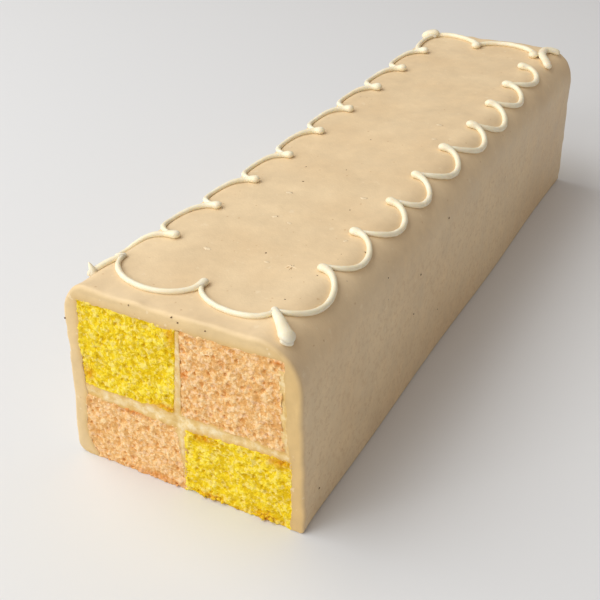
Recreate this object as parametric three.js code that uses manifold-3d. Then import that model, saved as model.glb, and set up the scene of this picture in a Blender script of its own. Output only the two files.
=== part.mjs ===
// A battenberg cake: four sponge bars in a yellow and pink checker, stuck together with
// buttercream, wrapped in marzipan and edged with a border of piped icing.
// Millimetres, +Z up. X runs across the cake and Y along it, with the cut end towards -Y.
// The origin is the middle of the underside.

import * as THREE from 'three';
import { mergeVertices } from 'three/addons/utils/BufferGeometryUtils.js';
import Module from 'manifold-3d';

const wasm = await Module();
wasm.setup();

// Driving dimensions of the cake as it would be if it were perfectly even
const cakeLength = 254;
const cakeHeight = 57;
const fit = 0.3; // room between two pieces that touch

// Marzipan coat: the outer outline, then how thick it is over the sponge
const coat = {
  baseHalfWidth: 36.6,
  leftShoulder: { reach: 34.9, across: 8.5, down: 12.5 },
  rightShoulder: { reach: 36, across: 12, down: 12.5 },
  leftFootRadius: 3.5,
  rightFootRadius: 1.2,
  topThickness: 4.4,
};
const stationsAlong = 12; // every long piece bends at the same places

// Inside faces of the coat's two side walls, as height above the base and distance across
const leftInside = [[0, -28.7], [4, -31.2], [10, -32.1], [22, -30.9], [38, -31.1], [53, -30.1]];
const rightInside = [[0, 33], [12, 32.9], [22, 32.7], [30, 31.6], [53, 31.4]];

// Buttercream: a level layer between the rows, and one upright seam in each row
const layer = { leftBottom: 21.2, middleBottom: 20.9, rightBottom: 22.6, leftTop: 25.9, middleTop: 26.6, rightTop: 25.9 };
const upperSeam = { bottomCentre: -0.7, topCentre: 1.5, bottomWidth: 2.7, topWidth: 1.5 };
const lowerSeam = { bottomCentre: 0.8, topCentre: 0, bottomWidth: 1.2, topWidth: 4.2 };
const sideSmear = 1.1; // buttercream between the upper right bar and the coat

// Sponge: the cut faces stand a little back from the marzipan and are rough with crumb
const crumb = { setBack: 0.6, relief: 0.9, cells: 10 };

// How the real cake departs from even
const uneven = {
  farRise: 0.047, // the far end is this much taller, as a share of the height
  leftWaist: 0.085, // the left side is drawn in at mid length, as a share of the half width
  cutLip: 0.7, // the right wall flares out at the cut
  lipReach: 6,
  ripple: 0.3,
};

// Piped icing: garlands along the four top edges, each a string with a bulb at its far end
const piping = {
  radius: 0.74,
  headRadius: 1.4,
  sides: 6,
  spans: 9,
  garlandsLeft: 9,
  headInsetLeft: -21.8,
  bulgeLeft: 6.9,
  tuck: 2.2, // how far outside the nearer bulb a garland of the left edge ends
  slump: 0.45, // thick places spread out more than they stand up
  farMore: 0.5, // strings are this much thicker at the far end, as a share
  peak: { radius: 1.1, height: 2.5, lean: [-1.5, 0.3] },
};

// Garlands of the right edge, which were piped less evenly. For each one: where its bulb is, where
// it ends, both across and from the cut, how far it bulges out and how far the bulge leans away.
const rightGarlands = [
  [23.6, 36.4, 22.8, 12.4, 7.7, -0.8],
  [21.8, 59.4, 23.7, 37.9, 7.5, 0],
  [23.2, 81.9, 23.2, 60.3, 7.7, -0.2],
  [23.2, 102.5, 23.6, 83.2, 7.5, -1.1],
  [23.6, 126.6, 23.5, 103.8, 7.9, 1.1],
  [24.8, 150.3, 23.6, 127.2, 8, 1.4],
  [23.6, 174, 24.8, 151.4, 8.2, 0.6],
  [22.5, 197.8, 23.4, 175.4, 8.2, 0.3],
  [21.9, 221.8, 23.4, 199.4, 7.4, 1.8],
];

const colours = {
  marzipan: 0xe3cba0,
  yellowSponge: 0xeecb3e,
  pinkSponge: 0xecb283,
  buttercream: 0xefdfb0,
  icing: 0xf6eed8,
};

function seededRandom(seed) {
  let state = seed;
  return () => {
    state = (state * 1664525 + 1013904223) % 4294967296;
    return state / 4294967296;
  };
}

// Straight stretches between the given pairs of height and distance across
function along(pairs, height) {
  let last = pairs[0];
  for (const pair of pairs) {
    if (height <= pair[0]) {
      const share = pair === last ? 0 : (height - last[0]) / (pair[0] - last[0]);
      return THREE.MathUtils.lerp(last[1], pair[1], share);
    }
    last = pair;
  }
  return last[1];
}

// The real cake: taller at the far end, waisted on the left, lipped at the cut, faintly rippled
function settle(point) {
  const { x, y, z } = point;
  const way = THREE.MathUtils.clamp(y / cakeLength + 0.5, 0, 1);
  const waist = x < 0 ? 1 - uneven.leftWaist * Math.sin(Math.PI * way) : 1;
  const fromCut = Math.max(0, y + cakeLength / 2);
  const outward = Math.max(0, x / coat.baseHalfWidth) ** 4;
  const lip = uneven.cutLip * Math.exp(-fromCut / uneven.lipReach) * outward;
  const sway = uneven.ripple * Math.sin(y / 19 + z / 13);
  const swell = uneven.ripple * Math.sin(x / 11 - y / 23) * (z / cakeHeight);
  point.set(x * waist + lip + sway, y, z * (1 + uneven.farRise * way) + swell);
  return point;
}

// Turns a shape drawn in X and Z, swept along Y, into an even piece and then settles it
function sweep(shape, length) {
  const geometry = new THREE.ExtrudeGeometry(shape, {
    depth: length,
    steps: stationsAlong,
    bevelEnabled: false,
    curveSegments: 8,
  });
  geometry.rotateX(Math.PI / 2);
  geometry.translate(0, length / 2, 0);
  return moveVertices(geometry, settle);
}

function moveVertices(geometry, move) {
  const positions = geometry.getAttribute('position');
  const point = new THREE.Vector3();
  for (let i = 0; i < positions.count; i += 1) {
    move(point.fromBufferAttribute(positions, i));
    positions.setXYZ(i, point.x, point.y, point.z);
  }
  return closed(geometry);
}

// One closed skin with its shared vertices merged
function closed(geometry) {
  geometry.deleteAttribute('normal');
  geometry.deleteAttribute('uv');
  return mergeVertices(geometry, 1e-4);
}

function piece(name, geometry, colour, roughness) {
  const material = new THREE.MeshStandardMaterial({ color: colour, roughness, metalness: 0 });
  const mesh = new THREE.Mesh(geometry, material);
  mesh.geometry.computeVertexNormals();
  mesh.name = name;
  return mesh;
}

const ceiling = cakeHeight - coat.topThickness; // inside face of the coat's top

// Marzipan: an arch over the sponge, open along the underside
function marzipanShape() {
  const { baseHalfWidth: base, leftShoulder, rightShoulder } = coat;
  const foot = coat.leftFootRadius;
  const toe = coat.rightFootRadius;
  const half = Math.PI / 2;
  const shape = new THREE.Shape();
  shape.moveTo(leftInside[0][1], 0);
  shape.lineTo(foot - base, 0);
  shape.absarc(foot - base, foot, foot, -half, -Math.PI, true);
  shape.lineTo(-leftShoulder.reach, cakeHeight - leftShoulder.down);
  shape.absellipse(leftShoulder.across - leftShoulder.reach, cakeHeight - leftShoulder.down,
    leftShoulder.across, leftShoulder.down, Math.PI, half, true);
  shape.lineTo(0, cakeHeight);
  shape.absellipse(rightShoulder.reach - rightShoulder.across, cakeHeight - rightShoulder.down,
    rightShoulder.across, rightShoulder.down, half, 0, true);
  shape.lineTo(base, toe);
  shape.absarc(base - toe, toe, toe, 0, -half, true);
  for (const [height, across] of rightInside.slice(0, -1)) {
    shape.lineTo(across, height);
  }
  shape.lineTo(along(rightInside, ceiling), ceiling);
  shape.lineTo(0, ceiling);
  shape.lineTo(along(leftInside, ceiling), ceiling);
  for (const [height, across] of leftInside.slice(1, -1).reverse()) {
    shape.lineTo(across, height);
  }
  return shape;
}

// Height of the coat's even top over a place across the cake
function topHeight(x) {
  const shoulder = x < 0 ? coat.leftShoulder : coat.rightShoulder;
  const past = Math.abs(x) - (shoulder.reach - shoulder.across);
  const share = THREE.MathUtils.clamp(past / shoulder.across, 0, 0.995);
  return cakeHeight - shoulder.down * (1 - Math.sqrt(1 - share * share));
}

// Upright direction away from the coat at that place
function topNormal(x) {
  const step = 0.05;
  const slope = (topHeight(x + step) - topHeight(x - step)) / (2 * step);
  return new THREE.Vector3(-slope, 0, 1).normalize();
}

// Centre line and width of a seam at a height between its foot and its head
function seamEdges(seam, bottom, top, height) {
  const share = THREE.MathUtils.clamp((height - bottom) / (top - bottom), 0, 1);
  const centre = THREE.MathUtils.lerp(seam.bottomCentre, seam.topCentre, share);
  const width = THREE.MathUtils.lerp(seam.bottomWidth, seam.topWidth, share);
  return { left: centre - width / 2, right: centre + width / 2 };
}

const upperSeamAt = (height) => seamEdges(upperSeam, layer.middleTop, ceiling, height);
const lowerSeamAt = (height) => seamEdges(lowerSeam, 0, layer.middleBottom, height);

// The four bars: their side walls as functions of height, their floors and tops as pairs
const bars = [
  {
    name: 'sponge_yellow_upper',
    colour: colours.yellowSponge,
    left: (z) => along(leftInside, z) + fit,
    right: (z) => upperSeamAt(z).left,
    floor: [layer.leftTop, layer.middleTop],
    top: [ceiling - fit, ceiling - fit],
  },
  {
    name: 'sponge_pink_upper',
    colour: colours.pinkSponge,
    left: (z) => upperSeamAt(z).right,
    right: (z) => along(rightInside, z) - sideSmear,
    floor: [layer.middleTop, layer.rightTop],
    top: [ceiling - fit, ceiling - fit],
  },
  {
    name: 'sponge_pink_lower',
    colour: colours.pinkSponge,
    left: (z) => along(leftInside, z) + fit,
    right: (z) => lowerSeamAt(z).left,
    floor: [0, 0],
    top: [layer.leftBottom, layer.middleBottom],
  },
  {
    name: 'sponge_yellow_lower',
    colour: colours.yellowSponge,
    left: (z) => lowerSeamAt(z).right,
    right: (z) => along(rightInside, z) - fit,
    floor: [0, 0],
    top: [layer.middleBottom, layer.rightBottom],
  },
];

// A sponge bar: a box whose sides follow its neighbours, with crumbs standing on both cut faces
function spongeBar(bar, random) {
  const box = new THREE.BoxGeometry(1, 1, 1, crumb.cells, crumb.cells, stationsAlong);
  const merged = closed(box);
  const reach = cakeLength / 2 - crumb.setBack;
  return moveVertices(merged, (point) => {
    const across = point.x + 0.5;
    const up = point.y + 0.5;
    const z = THREE.MathUtils.lerp(
      THREE.MathUtils.lerp(bar.floor[0], bar.floor[1], across),
      THREE.MathUtils.lerp(bar.top[0], bar.top[1], across),
      up,
    );
    const x = THREE.MathUtils.lerp(bar.left(z), bar.right(z), across);
    const onCut = Math.abs(point.z) > 0.499;
    const rough = onCut ? (random() - 0.5) * crumb.relief : 0;
    settle(point.set(x, -2 * point.z * reach + rough, z));
  });
}

// Buttercream: the level layer, the two seams and the thin smear, drawn as one outline
function buttercreamShape() {
  const c = layer;
  const wallLeft = (z) => along(leftInside, z) + fit;
  const wallRight = (z) => along(rightInside, z) - fit;
  const seamTop = ceiling - fit;
  const foot = lowerSeamAt(0);
  const neck = lowerSeamAt(c.middleBottom);
  const root = upperSeamAt(c.middleTop);
  const tip = upperSeamAt(ceiling);
  const smearTop = ceiling - 3;
  const outline = [
    [foot.left + fit, fit],
    [foot.right - fit, fit],
    [neck.right - fit, c.middleBottom],
    [neck.right, c.middleBottom + fit],
    [wallRight(c.rightBottom), c.rightBottom + fit],
    [wallRight(c.rightTop), c.rightTop],
    [wallRight(rightInside[3][0]), rightInside[3][0]],
    [wallRight(smearTop), smearTop],
    [along(rightInside, smearTop) - sideSmear + fit, smearTop],
    [along(rightInside, rightInside[3][0]) - sideSmear + fit, rightInside[3][0]],
    [along(rightInside, c.rightTop) - sideSmear + fit, c.rightTop - fit],
    [root.right, c.middleTop - fit],
    [root.right - fit, c.middleTop],
    [tip.right - fit, seamTop],
    [tip.left + fit, seamTop],
    [root.left + fit, c.middleTop],
    [root.left, c.middleTop - fit],
    [wallLeft(c.leftTop), c.leftTop - fit],
    [wallLeft(c.leftBottom), c.leftBottom + fit],
    [neck.left, c.middleBottom + fit],
    [neck.left + fit, c.middleBottom],
  ];
  return new THREE.Shape(outline.map(([x, z]) => new THREE.Vector2(x, z)));
}

// A garland in plan: half an ellipse from one end to the other that bulges to one side
function garland(from, to, bulge) {
  const middle = new THREE.Vector2().addVectors(from, to).multiplyScalar(0.5);
  const arm = new THREE.Vector2().subVectors(from, middle);
  return (share) => {
    const angle = Math.PI * share;
    return new THREE.Vector2()
      .copy(middle)
      .addScaledVector(arm, Math.cos(angle))
      .addScaledVector(bulge, Math.sin(angle));
  };
}

// A string of icing on the coat: a capsule bent along a plan curve, thicker at its bulb
function icingString(plan, spans, thickness) {
  const { radius, sides } = piping;
  const capsule = new THREE.CapsuleGeometry(radius, 1, 2, sides, spans);
  const ahead = 0.02;
  return solid(moveVertices(closed(capsule), (point) => {
    const share = THREE.MathUtils.clamp(point.y + 0.5, 0, 1);
    const overrun = point.y + 0.5 - share;
    const here = plan(share);
    const next = plan(Math.min(1, share + ahead));
    const before = plan(Math.max(0, share - ahead));
    const forward = new THREE.Vector2().subVectors(next, before).normalize();
    const up = topNormal(here.x);
    const ahead3 = new THREE.Vector3(forward.x, forward.y, 0);
    ahead3.addScaledVector(up, -ahead3.dot(up)).normalize();
    const sideways = new THREE.Vector3().crossVectors(ahead3, up);
    const wide = thickness(share) * (1 + piping.farMore * (here.y / cakeLength + 0.5));
    const tall = 1 + (wide - 1) * piping.slump;
    const centre = new THREE.Vector3(here.x, here.y, topHeight(here.x));
    centre.addScaledVector(up, radius * tall + fit);
    centre.addScaledVector(sideways, point.x * wide);
    centre.addScaledVector(up, point.z * tall);
    centre.addScaledVector(ahead3, overrun * wide);
    settle(point.copy(centre));
  }));
}

// The leaning tip left where the nozzle was pulled away: a cone with hollow flanks
function icingPeak(foot) {
  const { radius, height, lean } = piping.peak;
  const cone = new THREE.ConeGeometry(radius, 1, piping.sides, 4);
  return solid(moveVertices(closed(cone), (point) => {
    const rise = point.y + 0.5;
    const hollow = 1 - 0.4 * Math.sin(Math.PI * rise);
    const x = foot.x + point.x * hollow + lean[0] * rise ** 1.5;
    const y = foot.y - point.z * hollow + lean[1] * rise ** 1.5;
    settle(point.set(x, y, topHeight(foot.x) + piping.radius + fit + height * rise));
  }));
}

function solid(geometry) {
  return new wasm.Manifold(new wasm.Mesh({
    numProp: 3,
    vertProperties: Float32Array.from(geometry.getAttribute('position').array),
    triVerts: Uint32Array.from(geometry.getIndex().array),
  }));
}

function geometryOf(manifold) {
  const mesh = manifold.getMesh();
  const geometry = new THREE.BufferGeometry();
  geometry.setAttribute('position', new THREE.BufferAttribute(Float32Array.from(mesh.vertProperties), 3));
  geometry.setIndex(new THREE.BufferAttribute(Uint32Array.from(mesh.triVerts), 1));
  return geometry;
}

const bulbAtStart = (share) => 1 + (piping.headRadius / piping.radius - 1) * Math.exp(-((share / 0.13) ** 2));

// Places of the bulbs along the left edge, measured from the cut end
const leftBulb = (k) => 33.6 + 20.5 * (k - 1) + 0.38 * (k - 1) ** 2;

function icingBorder() {
  const front = -cakeLength / 2;
  const at = (x, fromCut) => new THREE.Vector2(x, front + fromCut);
  const cornerRight = at(22.8, 12.4);
  const cornerLeft = at(-27.3, 18);
  const middleFront = at(-0.3, 16.4);
  const strings = [];

  // right edge, then left edge
  for (const [x, fromCut, endX, endFromCut, bulge, lean] of rightGarlands) {
    const plan = garland(at(x, fromCut), at(endX, endFromCut), new THREE.Vector2(bulge, lean));
    strings.push(icingString(plan, piping.spans, bulbAtStart));
  }
  const leftOut = new THREE.Vector2(-piping.bulgeLeft, 0);
  for (let k = 1; k <= piping.garlandsLeft; k += 1) {
    const from = at(piping.headInsetLeft, leftBulb(k));
    const to = k === 1 ? cornerLeft : at(piping.headInsetLeft - piping.tuck, leftBulb(k - 1) + 0.6);
    strings.push(icingString(garland(from, to, leftOut), piping.spans, bulbAtStart));
  }

  // front edge: two garlands that meet at the middle bulb
  strings.push(icingString(garland(middleFront, cornerLeft, new THREE.Vector2(0, -10)), 14, bulbAtStart));
  strings.push(icingString(garland(cornerRight, middleFront, new THREE.Vector2(0, -7)), 14, () => 1));

  // far edge
  const farLeft = at(-25.5, 246);
  const farMiddle = at(-3.5, 238.5);
  const farRight = at(22, 238);
  strings.push(icingString(garland(farMiddle, farLeft, new THREE.Vector2(0, 7)), 12, bulbAtStart));
  strings.push(icingString(garland(farRight, farMiddle, new THREE.Vector2(0, 9)), 12, bulbAtStart));
  const lastLeft = at(piping.headInsetLeft - piping.tuck, leftBulb(piping.garlandsLeft) + 0.6);
  strings.push(icingString(garland(farLeft, lastLeft, new THREE.Vector2(-3, 0)), 8, bulbAtStart));

  // dollop on the far left corner
  const dab = garland(at(-28.8, 246.6), at(-26.4, 247.8), new THREE.Vector2(0, 0));
  strings.push(icingString(dab, 4, () => 2.3));

  // short string to the front left corner, with a dollop and a peak at its end
  const spur = at(-31.4, 9.6);
  strings.push(icingString(garland(spur, cornerLeft, new THREE.Vector2(-0.4, 0.4)), 5, (share) => 1.7 - 0.7 * share));
  strings.push(icingPeak(spur));

  // thick trail that hangs over the front right corner
  const trailEnd = at(29.8, 5.2);
  const trail = garland(cornerRight, trailEnd, new THREE.Vector2(0.5, 0.5));
  strings.push(icingString(trail, 7, (share) => 1.4 + 1.35 * share ** 1.5));

  let border = strings[0];
  for (const string of strings.slice(1)) {
    border = border.add(string);
  }
  return geometryOf(border);
}

// The loose hook of icing at the far right corner
function icingHook() {
  const bends = [[29.3, 232.4], [28, 235], [25.2, 240], [24.6, 246.5], [28.8, 250]];
  const curve = new THREE.SplineCurve(bends.map(([x, fromCut]) => new THREE.Vector2(x, fromCut - cakeLength / 2)));
  return geometryOf(icingString((share) => curve.getPoint(share), 14, (share) => 1.8 - 0.3 * share));
}

const cake = new THREE.Group();
cake.name = 'battenberg_cake';
const random = seededRandom(11);

cake.add(piece('marzipan_coat', sweep(marzipanShape(), cakeLength), colours.marzipan, 0.5));
for (const bar of bars) {
  cake.add(piece(bar.name, spongeBar(bar, random), bar.colour, 0.95));
}
const creamLength = cakeLength - 2 * crumb.setBack;
cake.add(piece('buttercream_filling', sweep(buttercreamShape(), creamLength), colours.buttercream, 0.6));
cake.add(piece('icing_border', icingBorder(), colours.icing, 0.45));
cake.add(piece('icing_corner_hook', icingHook(), colours.icing, 0.45));

export default cake;
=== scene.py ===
import bpy
import numpy as np
from mathutils import Euler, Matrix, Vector
from mathutils.geometry import delaunay_2d_cdt


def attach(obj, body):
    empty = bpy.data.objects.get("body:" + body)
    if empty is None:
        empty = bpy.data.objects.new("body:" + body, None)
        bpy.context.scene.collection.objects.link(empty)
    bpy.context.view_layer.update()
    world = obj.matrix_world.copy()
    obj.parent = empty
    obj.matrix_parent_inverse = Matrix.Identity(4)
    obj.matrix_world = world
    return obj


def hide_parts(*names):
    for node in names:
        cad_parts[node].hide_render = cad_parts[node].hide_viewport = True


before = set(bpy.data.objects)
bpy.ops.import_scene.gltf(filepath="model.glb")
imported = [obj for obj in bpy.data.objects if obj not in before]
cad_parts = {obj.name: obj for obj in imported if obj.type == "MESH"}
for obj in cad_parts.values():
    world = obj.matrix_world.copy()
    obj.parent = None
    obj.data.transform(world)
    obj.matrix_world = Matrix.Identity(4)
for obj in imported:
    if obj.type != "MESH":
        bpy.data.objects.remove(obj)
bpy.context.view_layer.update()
scene = bpy.context.scene

# Everything below is worked out in millimetres, with X across the cake, Y along it with the cut
# end at -Y, and Z up. makePiece turns it into metres.
cake = {
    "length": 254.0,
    "height": 57.0,
    "fit": 0.3,
    "farRise": 0.047,  # the far end is taller by this share
    "leftWaist": 0.085,  # the left side is drawn in at mid length
    "cutLip": 0.7,  # the right wall flares out at the cut
    "lipReach": 6.0,
    "ripple": 0.3,
    "rippleLengths": (19, 13, 11, 23),  # along and up, then across and along
}
halfLength = cake["length"] / 2


def fade(t):
    # 3t^2 - 2t^3 between 0 and 1: a step with soft ends
    t = np.clip(t, 0.0, 1.0)
    return t * t * (3.0 - 2.0 * t)


def blendTo(a, b, t):
    # a where t is 0, b where t is 1
    return a + (b - a) * t


def cornerNumber(i, j, k, seed):
    # a fixed random number from -1 to 1 for each whole-number corner, by mixing its bits
    n = (i * 73856093 ^ j * 19349663 ^ k * 83492791 ^ (seed + 17) * 2654435761) & 0xFFFFFFFF
    n = ((n ^ (n >> 13)) * 1274126177) & 0xFFFFFFFF
    n = ((n ^ (n >> 16)) * 668265263) & 0xFFFFFFFF
    return ((n ^ (n >> 15)) & 0xFFFF) / 32767.5 - 1.0


def softNoise(x, y, z, size, seed, layers=1):
    # random numbers at the corners of cubes, blended inside each cube with soft steps; every
    # further layer is half the size and half as strong
    x, y, z = np.broadcast_arrays(x, y, z)
    total = np.zeros(x.shape)
    strength = 1.0
    for layer in range(layers):
        step = size / 2 ** layer
        px, py, pz = x / step, y / step, z / step
        i, j, k = (np.floor(p).astype(np.int64) for p in (px, py, pz))
        fx, fy, fz = fade(px - i), fade(py - j), fade(pz - k)
        value = 0.0
        for di, wx in ((0, 1 - fx), (1, fx)):
            for dj, wy in ((0, 1 - fy), (1, fy)):
                for dk, wz in ((0, 1 - fz), (1, fz)):
                    value = value + wx * wy * wz * cornerNumber(i + di, j + dj, k + dk, seed + layer)
        total = total + strength * value
        strength *= 0.5
    return total


def nearestGrain(u, v, size, seed):
    # every square holds one random point: the distance to the nearest, and that point's number
    i, j = np.floor(u / size).astype(np.int64), np.floor(v / size).astype(np.int64)
    nearest = np.full(u.shape, 1e9)
    number = np.zeros(u.shape)
    stray = 0.45  # squares, from the middle of its own
    for di in (-1, 0, 1):
        for dj in (-1, 0, 1):
            a, b = i + di, j + dj
            pu = (a + 0.5 + stray * cornerNumber(a, b, 1, seed)) * size
            pv = (b + 0.5 + stray * cornerNumber(a, b, 2, seed)) * size
            away = np.hypot(u - pu, v - pv)
            closer = away < nearest
            nearest = np.where(closer, away, nearest)
            number = np.where(closer, cornerNumber(a, b, 3, seed), number)
    return nearest, number


def dome(away, radius):
    # half a ball's outline: 1 in the middle, 0 from the radius on
    return np.sqrt(np.clip(1.0 - (away / radius) ** 2, 0.0, 1.0))


def unit(vectors):
    return vectors / np.maximum(np.linalg.norm(vectors, axis=-1, keepdims=True), 1e-12)


def settle(points):
    # the real cake: z grows by farRise along the cake, the left half narrows by a sine of the
    # length, the right wall flares at the cut, and two slow waves shift x and z a little
    x, y, z = points[..., 0], points[..., 1], points[..., 2]
    way = np.clip(y / cake["length"] + 0.5, 0.0, 1.0)
    waist = np.where(x < 0, 1.0 - cake["leftWaist"] * np.sin(np.pi * way), 1.0)
    fromCut = np.maximum(0.0, y + halfLength)
    outward = np.maximum(0.0, x / coat["baseHalfWidth"]) ** 4
    lip = cake["cutLip"] * np.exp(-fromCut / cake["lipReach"]) * outward
    swayAlong, swayUp, swellAcross, swellAlong = cake["rippleLengths"]
    sway = cake["ripple"] * np.sin(y / swayAlong + z / swayUp)
    swell = cake["ripple"] * np.sin(x / swellAcross - y / swellAlong) * (z / cake["height"])
    return np.stack([x * waist + lip + sway, y, z * (1 + cake["farRise"] * way) + swell], axis=-1)


def makePiece(name, points, faceSets, material, slotName, nodes=(), values=None):
    # points in millimetres and arrays of three- or four-cornered faces become a smooth mesh
    counts = np.concatenate([np.full(len(f), f.shape[1]) for f in faceSets])
    corners = np.concatenate([f.ravel() for f in faceSets]).astype(np.int32)
    starts = np.concatenate([[0], np.cumsum(counts)[:-1]]).astype(np.int32)
    mesh = bpy.data.meshes.new(name)
    mesh.vertices.add(len(points))
    mesh.vertices.foreach_set("co", (points * 0.001).astype(np.float32).ravel())
    mesh.loops.add(len(corners))
    mesh.loops.foreach_set("vertex_index", corners)
    mesh.polygons.add(len(counts))
    mesh.polygons.foreach_set("loop_start", starts)
    mesh.polygons.foreach_set("use_smooth", np.ones(len(counts), dtype=bool))
    mesh.update(calc_edges=True)
    mesh.validate()
    for key, numbers in (values or {}).items():
        layer = mesh.attributes.new(key, "FLOAT", "POINT")
        layer.data.foreach_set("value", numbers.astype(np.float32))
    mesh.materials.append(material)
    piece = bpy.data.objects.new(name, mesh)
    scene.collection.objects.link(piece)
    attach(piece, "root")
    if nodes:
        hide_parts(*nodes)
    return piece


def ball(rounds):
    # an octahedron whose faces are split in four and pushed out to a ball, rounds times over
    points = np.array([(1, 0, 0), (-1, 0, 0), (0, 1, 0), (0, -1, 0), (0, 0, 1), (0, 0, -1)], float)
    faces = np.array([
        (0, 2, 4), (2, 1, 4), (1, 3, 4), (3, 0, 4), (2, 0, 5), (1, 2, 5), (3, 1, 5), (0, 3, 5)])
    for _ in range(rounds):
        a, b, c = (points[faces[:, n]] for n in range(3))
        every = np.concatenate([a, b, c, unit(a + b), unit(b + c), unit(c + a)])
        points, back = np.unique(np.round(every, 6), axis=0, return_inverse=True)
        a, b, c, ab, bc, ca = back.reshape(6, -1)
        split = ((a, ab, ca), (ab, b, bc), (ca, bc, c), (ab, bc, ca))
        faces = np.concatenate([np.stack(f, 1) for f in split])
    return unit(points), faces


def lumps(places, sizes, ups, turns, seed, rounds=1):
    # one uneven ball per place: its three half sizes lie along a direction turned about up by
    # the given angle, square to that, and along up; each corner moves in or out by a random share
    base, faces = ball(rounds)
    aside = np.array([0.31, 0.95, 0.05])  # in line with none of the ups
    side = unit(np.cross(ups, aside))
    along = np.cross(ups, side)
    cos, sin = np.cos(turns)[:, None], np.sin(turns)[:, None]
    axes = np.stack([side * cos + along * sin, along * cos - side * sin, ups], 1)
    swell = np.random.default_rng(seed).uniform(0.72, 1.25, (len(places), len(base), 1))
    local = base[None] * sizes[:, None] * swell
    points = places[:, None] + np.einsum("nvk,nkc->nvc", local, axes)
    numbers = faces[None] + (np.arange(len(places)) * len(base))[:, None, None]
    return points.reshape(-1, 3), [numbers.reshape(-1, 3)]


def joined(parts):
    # several (points, face arrays) become one, each one's faces counting on from the last
    points, faces, start = [], [], 0
    for partPoints, partFaces in parts:
        points.append(partPoints)
        faces += [f + start for f in partFaces]
        start += len(partPoints)
    return np.concatenate(points), faces


def ringSides(ringAt):
    # the four-cornered faces between neighbouring rings of point numbers, each ring closed
    here, there = ringAt[:-1], ringAt[1:]
    return np.stack([here, there, np.roll(there, -1, 1), np.roll(here, -1, 1)], -1).reshape(-1, 4)


def evenSteps(corners, step):
    # points along straight stretches, about one step apart, the corners themselves kept
    line = []
    for a, b in zip(corners[:-1], corners[1:]):
        n = max(1, round(float(np.hypot(*(b - a))) / step))
        line.append(a + (b - a) * np.linspace(0, 1, n, endpoint=False)[:, None])
    return np.concatenate(line + [corners[-1:]])


def outwardOf(outline):
    # for a closed line that runs anticlockwise, the direction away from it at each point
    ahead = unit(np.roll(outline, -1, axis=0) - outline)
    behind = unit(outline - np.roll(outline, 1, axis=0))
    travel = unit(ahead + behind)
    return np.stack([travel[:, 1], -travel[:, 0]], axis=1)


def insideOf(points, outline):
    # a point is inside if a level line from it crosses the outline an odd number of times
    a, b = outline, np.roll(outline, -1, axis=0)
    px, pz = points[:, :1], points[:, 1:]
    spans = (a[:, 1] > pz) != (b[:, 1] > pz)
    rise = np.where(np.abs(b[:, 1] - a[:, 1]) < 1e-9, 1e-9, b[:, 1] - a[:, 1])
    crossing = a[:, 0] + (pz - a[:, 1]) * (b[:, 0] - a[:, 0]) / rise
    return (np.sum(spans & (px < crossing), axis=1) % 2) == 1


def awayFromLine(points, outline):
    # distance from each point to the nearest stretch of the closed line
    a, b = outline, np.roll(outline, -1, axis=0)
    along = b - a
    share = ((points[:, None, :] - a) * along).sum(-1) / np.maximum((along ** 2).sum(-1), 1e-12)
    foot = a + np.clip(share, 0, 1)[..., None] * along
    return np.linalg.norm(points[:, None, :] - foot, axis=-1).min(axis=1)


cutFace = {
    "edgeRings": 5,  # that round each cut edge
    "rowShare": 0.87,  # rows of triangles this many cells apart
    "clear": 0.45,  # and this many cells off the edge
    "calm": 0.9,  # the relief fades in over this width
}


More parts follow.
